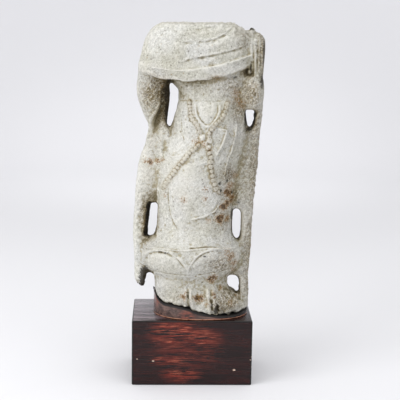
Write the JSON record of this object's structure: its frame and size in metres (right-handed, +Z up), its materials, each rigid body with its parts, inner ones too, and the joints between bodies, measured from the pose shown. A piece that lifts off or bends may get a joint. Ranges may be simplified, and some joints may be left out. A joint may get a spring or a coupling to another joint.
{
  "type": "carved stone torso on a wooden base",
  "caption": "Headless carved stone bodhisattva torso with a stole, crossed bead chains and falling scarf ends, set on an oval riser and a dark wooden block.",
  "frame": {"origin": "middle of the wooden block's underside, on the surface that it stands on", "axes": "+Z up along the figure, -Y towards the front that the figure faces, +X to the viewer's right, where the raised forearm is"},
  "size_m": [0.2127, 0.1422, 0.5831],
  "materials": {
    "carved_stone": "weathered, coarse grained, matte",
    "riser_wood": "dark red stain, worn edges, satin",
    "block_wood": "dark mahogany stain and lacquer, rubbed"
  },
  "bodies": {
    "root": {"stone_torso": "carved_stone", "wood_riser": "riser_wood", "wood_block": "block_wood"}
  },
  "joints": []
}
